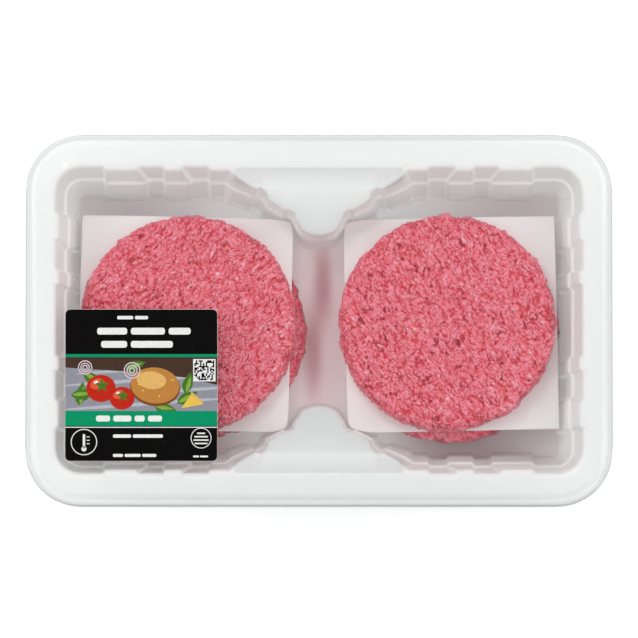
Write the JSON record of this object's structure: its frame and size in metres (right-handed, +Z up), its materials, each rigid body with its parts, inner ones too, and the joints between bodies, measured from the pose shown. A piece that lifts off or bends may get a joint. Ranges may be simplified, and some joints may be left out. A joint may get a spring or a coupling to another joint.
{
  "type": "meat tray pack",
  "caption": "Shut white meat tray with stacked ground beef patties in two wells, papers between them, a clear lid film and a square label.",
  "frame": {"origin": "middle of the tray's underside", "axes": "+X along the tray's long side, +Y across it, +Z up out of the wells"},
  "size_m": [0.294, 0.187, 0.0402],
  "materials": {
    "tray_plastic": "glossy white thermoformed sheet",
    "ground_beef": null,
    "interleaf_paper": "thin white waxed paper, tinted by the meat",
    "lid_film_clear": "clear taut film with soft wrinkles on the flange",
    "label_print": null
  },
  "bodies": {
    "root": {"tray": "tray_plastic", "patty_left_lower": "ground_beef", "patty_left_upper": "ground_beef", "patty_right_lower": "ground_beef", "patty_right_upper": "ground_beef", "paper_left": "interleaf_paper", "paper_right": "interleaf_paper", "lid_film": "lid_film_clear", "label": "label_print"}
  },
  "joints": []
}
